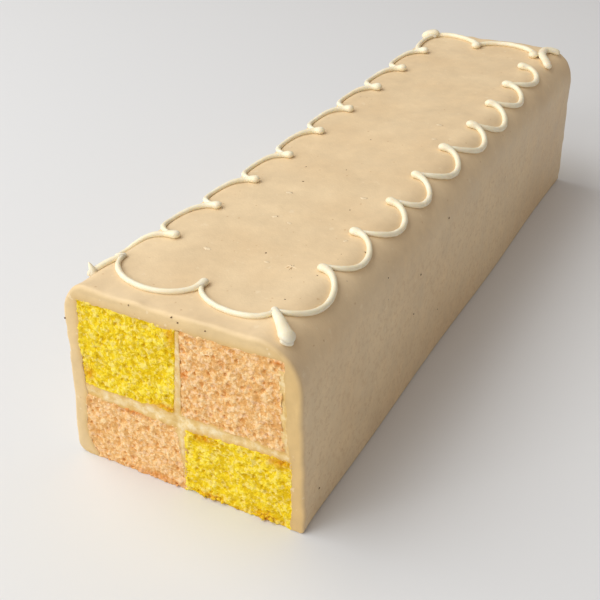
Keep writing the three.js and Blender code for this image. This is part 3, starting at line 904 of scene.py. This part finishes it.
print("buttercream")
cream = {
    "grow": 0.25,  # into its neighbours all round
    "setBack": 0.15,
    "edge": 0.3,
    "cell": 0.36,
    "overWall": 0.7,  # its ends run into the coat
    "smearIn": 0.3,  # and the smear under the bar beside it
    "smearDown": 3,  # its head lies this far below the ceiling
    "smearBend": 30.0,
    "step": 0.7,
    "stationStep": 6.2,
    "waver": 0.22,
    "waverSize": 2.6,
    "lumpHigh": 0.20,
    "lumpSize": 3.2,
    "dentDeep": 0.08,
    "dentSize": 1.1,
    "dentLong": 2.5,  # times as long as it is high
    "rimReach": 1.2,
    "rimShare": 0.8,
    "upperPaler": 0.65,
    "patches": (420.0, 4.0, 0.65),
    "patchStops": (0.36, 0.50, 0.66),
    "grainScale": 1500.0,
    "rough": (0.42, 0.6),
    "relief": (0.5, 0.0002),
    "tone": rgb(234, 205, 144),
    "toneDeep": rgb(222, 186, 114),
    "toneLight": rgb(246, 229, 188),
    "toneRim": rgb(212, 165, 76),
}


def creamOutline():
    # the level layer, both seams and the thin smear beside the upper right bar as one outline
    leftTop, middleTop, rightTop = seams["layerTop"]
    leftLow, middleLow, rightLow = seams["layerBottom"]
    wallLeft = lambda z: float(across(coat["leftInside"], z)) - cream["overWall"]
    wallRight = lambda z: float(across(coat["rightInside"], z)) + cream["overWall"]
    smearSide = lambda z: float(across(coat["rightInside"], z)) - seams["sideSmear"] - cream["smearIn"]
    lower = lambda z, side: float(seamEdge(seams["lower"], z, side))
    upper = lambda z, side: float(seamEdge(seams["upper"], z, side))
    smearTop, bend, seamTop = ceiling - cream["smearDown"], cream["smearBend"], ceiling - fit
    corners = np.array([
        (lower(0, -1) + fit, fit), (lower(0, 1) - fit, fit),
        (lower(middleLow, 1) - fit, middleLow), (lower(middleLow, 1), middleLow + fit),
        (wallRight(rightLow), rightLow + fit), (wallRight(rightTop), rightTop),
        (wallRight(bend), bend), (wallRight(smearTop), smearTop),
        (smearSide(smearTop), smearTop), (smearSide(bend), bend),
        (smearSide(rightTop), rightTop - fit),
        (upper(middleTop, 1), middleTop - fit), (upper(middleTop, 1) - fit, middleTop),
        (upper(ceiling, 1) - fit, seamTop), (upper(ceiling, -1) + fit, seamTop),
        (upper(middleTop, -1) + fit, middleTop), (upper(middleTop, -1), middleTop - fit),
        (wallLeft(leftTop), leftTop - fit), (wallLeft(leftLow), leftLow + fit),
        (lower(middleLow, -1), middleLow + fit), (lower(middleLow, -1) + fit, middleLow),
    ])
    line = evenSteps(np.concatenate([corners, corners[:1]]), cream["step"])[:-1]
    waver = cream["waver"] * softNoise(line[:, 0], line[:, 1], 0, cream["waverSize"], 61, 2)
    line = line + outwardOf(line) * (cream["grow"] + waver)[:, None]
    line[:, 1] = np.maximum(line[:, 1], 0.15)
    return line


def creamRelief(x, z, end):
    # knife-spread lumps and small hollows on the cut
    hills = softNoise(x, end * 3, z, cream["lumpSize"], 71, 3)
    dents = softNoise(x / cream["dentLong"], end * 3, z, cream["dentSize"], 73, 2)
    return cream["lumpHigh"] * hills + cream["dentDeep"] * dents


creamLine = creamOutline()
creamStations = np.arange(-halfLength + 3.0, halfLength - 2.9, cream["stationStep"])
creamPoints, creamFaces, creamCut = cutLoaf(
    creamLine, np.full(len(creamLine), cream["edge"]), creamStations, creamRelief, cream["cell"],
    halfLength - cream["setBack"])
# golden towards the bars, exp(-(distance from its outline / rimReach)^2), less so above the layer
creamRim = np.ones(len(creamPoints))
fromBars = awayFromLine(creamPoints[creamCut > 0][:, [0, 2]], creamLine)
creamRim[creamCut > 0] = np.exp(-(fromBars / cream["rimReach"]) ** 2)
creamRim *= 1 - cream["upperPaler"] * fade((creamPoints[:, 2] - 27) / 3)


def creamMaterial():
    material, tree, shader, where, _ = grainedSurface("buttercream", cream, {"Specular IOR Level": 0.4})
    patches = noiseFrom(tree, where, *cream["patches"])
    stops = list(zip(cream["patchStops"], (cream["toneDeep"], cream["tone"], cream["toneLight"])))
    rim = times(tree, attributeOf(tree, "nearBars"), cream["rimShare"])
    tone = mixColours(tree, rim, ramp(tree, patches, stops), cream["toneRim"])
    fill(tree, shader, {"Base Color": tone})
    return material


buttercream = creamMaterial()
makePiece(
    "creamFilling", settle(creamPoints), creamFaces, buttercream, "buttercream", ["buttercream_filling"],
    {"nearBars": creamRim})


print("piped icing")
icing = {
    "radius": 0.70,
    "head": 1.36,
    "farMore": 0.5,  # strings are this much thicker at the far end
    "garlandsLeft": 9,
    "bulbsLeft": (33.6, 20.5, 0.38),  # the first one's place, the step, and its growth
    "insetLeft": -21.8,
    "bulgeLeft": 6.9,
    "tuck": 2.2,
    # right edge: bulb (x, from the cut), end (x, from the cut), bulge and how far it leans away
    "rightGarlands": [
        (23.6, 36.4, 22.8, 12.4, 7.7, -0.8),
        (21.8, 59.4, 23.7, 37.9, 7.5, 0),
        (23.2, 81.9, 23.2, 60.3, 7.7, -0.2),
        (23.2, 102.5, 23.6, 83.2, 7.5, -1.1),
        (23.6, 126.6, 23.5, 103.8, 7.9, 1.1),
        (24.8, 150.3, 23.6, 127.2, 8, 1.4),
        (23.6, 174, 24.8, 151.4, 8.2, 0.6),
        (22.5, 197.8, 23.4, 175.4, 8.2, 0.3),
        (21.9, 221.8, 23.4, 199.4, 7.4, 1.8),
    ],
    "slump": 0.5,  # thick places spread more than they stand up
    "sunk": 0.22,
    "peak": {"radius": 1.1, "tip": 0.1, "height": 2.5, "lean": (-1.5, 0.3)},
    "sides": 16,
    "bump": 0.055,
    "bumpSize": 1.7,
    "pulse": 0.05,  # how much the girth swells and thins along a string
    "pulseSize": 4.0,
    "headReach": 0.11,  # share of the string's length
    "tail": 0.25,  # the last share, over which it thins
    "belly": 0.14,  # how much a string that starts in a bulb is thicker at its middle
    "plainBelly": 0.06,
    "grainScale": 1300.0,
    "rough": (0.34, 0.5),
    "relief": (0.35, 0.00012),
    "tone": rgb(250, 243, 220),
    "toneDeep": rgb(245, 231, 198),
}


def leftBulb(k):
    first, step, growth = icing["bulbsLeft"]
    return first + step * (k - 1) + growth * (k - 1) ** 2


def spot(x, fromCut):
    return np.array([x, fromCut - halfLength], float)


def garland(start, finish, bulge):
    # half an ellipse in plan: middle + arm cos(pi s) + bulge sin(pi s)
    middle, arm = (start + finish) / 2, (start - finish) / 2

    def plan(share):
        turn = np.pi * share[:, None]
        return middle + arm * np.cos(turn) + np.array(bulge, float) * np.sin(turn)
    return plan


def onCoat(places):
    # places in plan, put on the marzipan's top and shoulders, and the direction away from it
    x, y = places[:, 0], places[:, 1]
    step = 0.05
    slope = (topHeight(x + step) - topHeight(x - step)) / (2 * step)
    up = unit(np.stack([-slope, slope * 0, slope * 0 + 1], -1))
    even = np.stack([x, y, topHeight(x)], -1)
    return even + up * coatWave(x, y, even[:, 2])[:, None], up


def tube(centres, line, up, wide, tall, seed, roundness=5):
    # an oval section carried along centres and facing along line, closed by half balls: ring
    # centres run on past each end by wide sin(a) while the section shrinks by cos(a), to a pole
    forward = unit(np.gradient(line, axis=0))
    up = unit(up - forward * (up * forward).sum(-1, keepdims=True))
    side = np.cross(forward, up)
    turns = np.linspace(0, np.pi / 2, roundness + 1)[1:-1]

    def capped(values, first, last):
        return np.concatenate([first, values, last])
    n = len(turns)
    startC = centres[0] - forward[0] * wide[0] * np.sin(turns[::-1])[:, None]
    endC = centres[-1] + forward[-1] * wide[-1] * np.sin(turns)[:, None]
    allC = capped(centres, startC, endC)
    allSide = capped(side, np.repeat(side[:1], n, 0), np.repeat(side[-1:], n, 0))
    allUp = capped(up, np.repeat(up[:1], n, 0), np.repeat(up[-1:], n, 0))
    allWide = capped(wide, wide[0] * np.cos(turns[::-1]), wide[-1] * np.cos(turns))
    allTall = capped(tall, tall[0] * np.cos(turns[::-1]), tall[-1] * np.cos(turns))
    angle = np.linspace(0, 2 * np.pi, icing["sides"], endpoint=False)
    offset = (allSide[:, None] * (np.cos(angle)[None, :] * allWide[:, None])[..., None]
              + allUp[:, None] * (np.sin(angle)[None, :] * allTall[:, None])[..., None])
    body = allC[:, None] + offset
    bump = softNoise(body[..., 0], body[..., 1], body[..., 2], icing["bumpSize"], seed, 2)
    body = body + unit(offset) * (icing["bump"] * bump * np.minimum(allWide[:, None], 1.0))[..., None]
    rings, sides = body.shape[:2]
    poles = np.stack([centres[0] - forward[0] * wide[0], centres[-1] + forward[-1] * wide[-1]])
    points = np.concatenate([body.reshape(-1, 3), poles])
    at = np.arange(rings * sides).reshape(rings, sides)
    quads = ringSides(at)[:, [0, 3, 2, 1]]
    firstFan = np.stack([np.full(sides, rings * sides), np.roll(at[0], -1), at[0]], -1)
    lastFan = np.stack([np.full(sides, rings * sides + 1), at[-1], np.roll(at[-1], -1)], -1)
    return points, [quads, firstFan, lastFan]


def icingString(plan, girth, seed, count=54):
    # a piped string lying on the marzipan, its girth a function of the share of its length
    share = np.linspace(0, 1, count)
    ground, up = onCoat(plan(share))
    pulse = 1 + icing["pulse"] * softNoise(ground[:, 0], ground[:, 1], 0, icing["pulseSize"], seed, 2)
    thick = girth(share) * pulse * (1 + icing["farMore"] * (ground[:, 1] / cake["length"] + 0.5))
    wide = icing["radius"] * thick
    tall = icing["radius"] * (1 + (thick - 1) * icing["slump"])
    centres = ground + up * (tall - icing["sunk"])[:, None]
    return tube(centres, ground, up, wide, tall, seed)


def through(places):
    # a smooth line through places in plan: on each stretch the cubic that leaves and arrives
    # along the line from the last place to the next
    places = np.array(places, float)
    last = len(places) - 1

    def plan(share):
        run = np.asarray(share) * last
        i = np.minimum(run.astype(int), last - 1)
        t = (run - i)[:, None]
        before, start, finish, after = (places[np.clip(i + n, 0, last)] for n in (-1, 0, 1, 2))
        leave, arrive = (finish - before) / 2, (after - start) / 2
        return ((2 * start - 2 * finish + leave + arrive) * t ** 3
                + (3 * finish - 3 * start - 2 * leave - arrive) * t ** 2 + leave * t + start)
    return plan


def icingPeak(foot, seed):
    # the leaning tip where the nozzle was pulled away: it thins by (1 - rise)^0.7
    rise = np.linspace(0, 1, 26)[:, None]
    ground, _ = onCoat(foot[None])
    peak = icing["peak"]
    lean = np.array([peak["lean"]]) * rise ** 1.5
    centres = ground + np.concatenate([lean, icing["radius"] + peak["height"] * rise], 1)
    wide = peak["radius"] * (1 - rise[:, 0]) ** 0.7 + peak["tip"]
    ups = np.repeat(np.array([[0.94, 0.34, 0.0]]), len(rise), 0)
    return tube(centres, centres, ups, wide, wide, seed)


def headAtStart(share):
    # a bulb at the start, then a string that thins a little towards its tail
    bulb = (icing["head"] / icing["radius"] - 1) * np.exp(-(share / icing["headReach"]) ** 2)
    thin = icing["belly"] * fade((share - (1 - icing["tail"])) / icing["tail"])
    return 1 + bulb + icing["belly"] * np.sin(np.pi * share) - thin


def plainString(share):
    return 1 + icing["plainBelly"] * np.sin(np.pi * share)


def girthFrom(start, more, power=1):
    # a girth that changes by more from the start to the end of a string
    return lambda share: start + more * share ** power


cornerRight, cornerLeft, middleFront = spot(22.8, 12.4), spot(-27.3, 18), spot(-0.3, 16.4)
farLeft, farMiddle, farRight = spot(-25.5, 246), spot(-3.5, 238.5), spot(22, 238)
spurEnd, trailEnd = spot(-31.4, 9.6), spot(29.3, 5.1)
# the right edge's garlands, the left edge's, then the two ends', the corners' and the trail's
strings = []
for x, fromCut, endX, endFromCut, bulge, lean in icing["rightGarlands"]:
    strings.append((garland(spot(x, fromCut), spot(endX, endFromCut), (bulge, lean)), headAtStart))
for k in range(1, icing["garlandsLeft"] + 1):
    start = spot(icing["insetLeft"], leftBulb(k))
    finish = cornerLeft if k == 1 else spot(icing["insetLeft"] - icing["tuck"], leftBulb(k - 1) + 0.6)
    strings.append((garland(start, finish, (-icing["bulgeLeft"], 0)), headAtStart))
lastLeft = spot(icing["insetLeft"] - icing["tuck"], leftBulb(icing["garlandsLeft"]) + 0.6)
strings += [
    (garland(middleFront, cornerLeft, (0, -10)), headAtStart),
    (garland(cornerRight, middleFront, (0, -7.0)), plainString),
    (garland(farMiddle, farLeft, (0, 7.0)), headAtStart),
    (garland(farRight, farMiddle, (0, 9.0)), headAtStart),
    (garland(farLeft, lastLeft, (-3.0, 0)), plainString),
    (through([spurEnd, spot(-29.7, 13.6), cornerLeft]), girthFrom(1.8, -0.7)),
    (through([spot(-28.8, 246.6), spot(-26.4, 247.8)]), girthFrom(2.4, 0)),
    (through([cornerRight, spot(26.3, 8.5), trailEnd]), girthFrom(1.45, 1.75, 1.5)),
    (through([spot(29.6, 3.5), spot(30.2, 3.9), spot(30.6, 4.6)]), girthFrom(1.45, 0)),
]
parts = [icingString(plan, girth, 200 + n) for n, (plan, girth) in enumerate(strings)]
parts.append(icingPeak(spurEnd, 240))
borderPoints, borderFaces = joined(parts)


def icingMaterial():
    material, tree, shader, _, mottle = grainedSurface("pipedIcing", icing, {
        "Specular IOR Level": 0.45, "Subsurface Weight": 0.3, "Subsurface Radius": (1.0, 0.85, 0.6),
        "Subsurface Scale": 0.0014})
    tone = mixColours(tree, stretch(tree, mottle, *mottleSpan), icing["toneDeep"], icing["tone"])
    fill(tree, shader, {"Base Color": tone})
    return material


pipedIcing = icingMaterial()
makePiece("icingGarlands", settle(borderPoints), borderFaces, pipedIcing, "icing", ["icing_border"])
hookPlaces = [(29.3, 232.4), (28, 235), (25.2, 240), (24.6, 246.5), (28.6, 250)]
hookLine = through([spot(*place) for place in hookPlaces])
hookPoints, hookFaces = icingString(hookLine, girthFrom(1.85, -0.3), 260)
makePiece("icingHook", settle(hookPoints), hookFaces, pipedIcing, "icing", ["icing_corner_hook"])


print("specks, flecks and crumbs")
loose = {
    # (x, y) on the coat's top
    "topSpecks": [(23.7, -93.7), (14.3, -54.9), (28.7, -74.7), (5.4, -88.8), (22.1, -108.2),
                  (-1.7, -3.4), (-12.2, -33.6), (1.7, -30.4), (-7.3, -44.4)],
    # (x, z) on the coat's cut, near its top edge
    "cutSpecks": [(-12.4, 56.3), (0.5, 56.4), (2.3, 55.4), (10.3, 55.2), (-34.6, 45.5)],
    # (y, z) on the coat's right wall
    "wallSpecks": [(-117.6, 8.5), (-49, 38), (-30.8, 15.9), (-52.6, 26.1), (-26.9, 47.1), (-74.9, 49.9)],
    "speckSize": 0.25,
    "speckTone": rgb(104, 76, 48),
    # (x, y), length and turn of each pale smear on the top
    "smears": [(-7.3, -53.4, 1.5, 0.3), (-3.1, -69.1, 1.3, 1.0), (2.7, -70.7, 1.0, 0.2),
               (14.7, -45.9, 1.4, 0.7), (-10.2, -94.3, 1.6, 0.1), (8.1, -93.0, 0.9, 0.5),
               (14.4, 20.1, 1.6, 0.2), (17.6, 6.8, 1.4, 0.4), (21.5, -72.7, 1.0, 1.2)],
    "smearTone": rgb(240, 220, 184),
    "scratch": (15.1, -92.5),
    "scratchRays": [(0.2, 1.5), (1.1, 1.2), (1.9, 1.6), (2.7, 1.1)],  # turn and length
    # (x, z, size) of crumbs that lie at the foot of the cut
    "footYellow": [(6.7, 0.8, 1.2), (7.7, 1.3, 0.9), (9.8, 0.9, 1.4), (11.4, 1.2, 0.9),
                   (12.6, 0.9, 1.2), (17.2, 0.5, 0.6), (23.7, 1.6, 1.1), (25.0, 1.0, 1.5),
                   (26.3, 2.0, 0.9), (27.4, 1.1, 1.3)],
    "footPink": [(-25.6, 0.4, 0.5), (-20.4, 0.5, 0.6), (-15.0, 0.4, 0.5), (-9.6, 0.5, 0.65),
                 (-5.8, 0.4, 0.5), (-2.2, 0.5, 0.6)],
    # the same for marzipan crumbs on the coat's left side, just behind the cut
    "wallCrumbs": [(-36.3, 5.2, 0.75), (-35.3, 33.5, 0.65), (-35.9, 18.0, 0.4)],
}


def onWall(places):
    # (y, z) on the right wall: straight from the base to the shoulder's foot
    y, z = np.array(places, float).T
    shoulder = cake["height"] - coat["shoulderDown"]
    x = blendTo(coat["baseHalfWidth"], coat["rightReach"], np.clip(z / shoulder, 0, 1))
    return np.stack([x + coatWave(x, y, z), y, z], 1)


def halfSizes(*rows):
    # three half sizes for each lump, from arrays or single numbers
    return np.stack(np.broadcast_arrays(*rows), 1)


def flatLumps(name, places, ups, sizes, turns, seed, material, rounds=1):
    points, faces = lumps(places, sizes, ups, turns, seed, rounds)
    makePiece(name, settle(points), faces, material, "marzipan")


def plainMaterial(name, tone, rough):
    return newSurface(name, {"Base Color": tone, "Roughness": rough})[0]


def addSpecks():
    # flat dark grains pressed into the marzipan
    top, topUp = onCoat(np.array(loose["topSpecks"], float))
    x, z = np.array(loose["cutSpecks"], float).T
    cut = np.stack([x, x * 0 - halfLength - 0.02, z], 1)
    wall = onWall(loose["wallSpecks"])
    places = np.concatenate([top, cut, wall])
    ups = np.concatenate([topUp, cut * 0 + np.array([0, -0.8, 0.6]), wall * 0 + np.array([1, 0, 0])])
    size = loose["speckSize"] * np.random.default_rng(3).uniform(0.7, 1.35, len(places))
    sizes = halfSizes(size * 1.35, size, size * 0.4)
    surface = plainMaterial("speckSurface", loose["speckTone"], 0.7)
    flatLumps("darkSpecks", places, ups, sizes, np.arange(len(places)) * 1.7, 5, surface)


def addSmears():
    # thin pale smears, and the rays of a small star-shaped scratch, lying on the top; two of
    # the rays have a browner one beside them, painted shade along the scratch
    x, y, length, turn = np.array(loose["smears"], float).T
    places, ups = onCoat(np.stack([x, y], 1))
    rayTurn, rayLength = np.array(loose["scratchRays"]).T
    spread = 0.4 * np.stack([np.cos(rayTurn * 3), np.sin(rayTurn * 3)], 1)
    rayPlaces, rayUps = onCoat(np.array([loose["scratch"]]) + spread)
    sizes = [halfSizes(length * 0.8, length * 0.4, 0.06), halfSizes(rayLength, 0.16, 0.17)]
    surface = plainMaterial("smearSurface", loose["smearTone"], 0.5)
    flatLumps(
        "paleSmears", np.concatenate([places, rayPlaces]), np.concatenate([ups, rayUps]),
        np.concatenate(sizes), np.concatenate([turn, rayTurn]), 9, surface, 2)
    # painted shade: a browner strip beside two of the rays
    sizes = halfSizes(rayLength[1:3] - 0.3, 0.12, 0.11)
    surface = plainMaterial("scratchShadeSurface", coat["grainTone"], 0.6)
    flatLumps("scratchShade", rayPlaces[1:3], rayUps[1:3], sizes, rayTurn[1:3] + 0.45, 10, surface, 2)


def crumbPiece(name, placed, material, slotName, seed):
    # a few uneven crumbs at (x, y, z, size)
    x, y, z, size = np.array(placed, float).T
    sizes = halfSizes(size * 0.85, size * 0.6, size * 0.5)
    ups = np.repeat(np.array([[0.0, -0.3, 0.954]]), len(size), 0)
    points, faces = lumps(np.stack([x, y, z], 1), sizes, ups, np.arange(len(size)) * 2.1, seed, 2)
    points += 0.2 * np.stack([softNoise(*points.T, 0.55, seed + n, 2) for n in (1, 2, 3)], 1)
    points = settle(points)
    points[:, 2] = np.maximum(points[:, 2], 0.02)
    count = len(points)
    lift = np.random.default_rng(seed).uniform(-0.2, 0.6, count)
    values = {"crumbLift": lift, "crumbTint": np.zeros(count), "crust": 0.5 - lift * 0.5}
    makePiece(name, points, faces, material, slotName, values=values)


addSpecks()
addSmears()
for name, key, fromCut, share, material, slotName, seed in (
    ("yellowCrumbs", "footYellow", 0, 0.8, *sponges["yellow"], 21),
    ("pinkCrumbs", "footPink", 0, 0.8, *sponges["pink"], 22),
    ("wallCrumbs", "wallCrumbs", 1.2, 1, marzipan, "marzipan", 23),
):
    placed = [(x, fromCut - halfLength, z, share * size) for x, z, size in loose[key]]
    crumbPiece(name, placed, material, slotName, seed)


print("floor, light and camera")
studio = {
    "floorTone": rgb(226, 229, 232),
    "floorSize": 6.0,
    "worldTone": rgb(250, 238, 229),
    "worldLight": 0.37,
    "lights": [
        # name, place, size, power, colour
        ("windowLight", (-0.85, -0.35, 1.20), (1.6, 1.2), 17.6, (1.0, 1.0, 0.985)),
        ("frontLight", (-0.45, -1.5, 0.75), (1.2, 0.8), 10.9, (1.0, 1.0, 0.985)),
    ],
    "lightAim": (0, -0.02, 0.03),
    "cameraPlace": (0.12026, -0.28672, 0.18149),
    "cameraTurn": (1.0233349669466336, -0.0009928906747324053, 0.4859931633240054),
    "sensor": 36,
    "lens": 952.738656971692 / 600 * 36,  # in picture widths, times the sensor's
}


def makeFloor():
    half = studio["floorSize"] / 2
    mesh = bpy.data.meshes.new("floor")
    corners = [(-half, -half, 0), (half, -half, 0), (half, half, 0), (-half, half, 0)]
    mesh.from_pydata(corners, [], [(0, 1, 2, 3)])
    mesh.materials.append(plainMaterial("paleFloor", studio["floorTone"], 0.6))
    floor = bpy.data.objects.new("floor", mesh)
    scene.collection.objects.link(floor)


def makeLights():
    world = bpy.data.worlds.new("room")
    world.use_nodes = True
    background = world.node_tree.nodes["Background"]
    background.inputs["Color"].default_value = studio["worldTone"]
    background.inputs["Strength"].default_value = studio["worldLight"]
    scene.world = world
    for name, place, size, power, colour in studio["lights"]:
        data = bpy.data.lights.new(name, "AREA")
        data.shape = "RECTANGLE"
        data.size, data.size_y = size
        data.energy = power
        data.color = colour
        lamp = bpy.data.objects.new(name, data)
        lamp.location = place
        aim = Vector(studio["lightAim"]) - Vector(place)
        lamp.rotation_euler = aim.to_track_quat("-Z", "Y").to_euler()
        scene.collection.objects.link(lamp)


def makeCamera():
    data = bpy.data.cameras.new("camera")
    data.sensor_width = studio["sensor"]
    data.lens = studio["lens"]
    data.clip_start, data.clip_end = 0.01, 20
    camera = bpy.data.objects.new("camera", data)
    camera.location = studio["cameraPlace"]
    camera.rotation_euler = Euler(studio["cameraTurn"], "XYZ")
    scene.collection.objects.link(camera)
    scene.camera = camera


makeFloor()
makeLights()
makeCamera()
scene.view_settings.view_transform = "Standard"
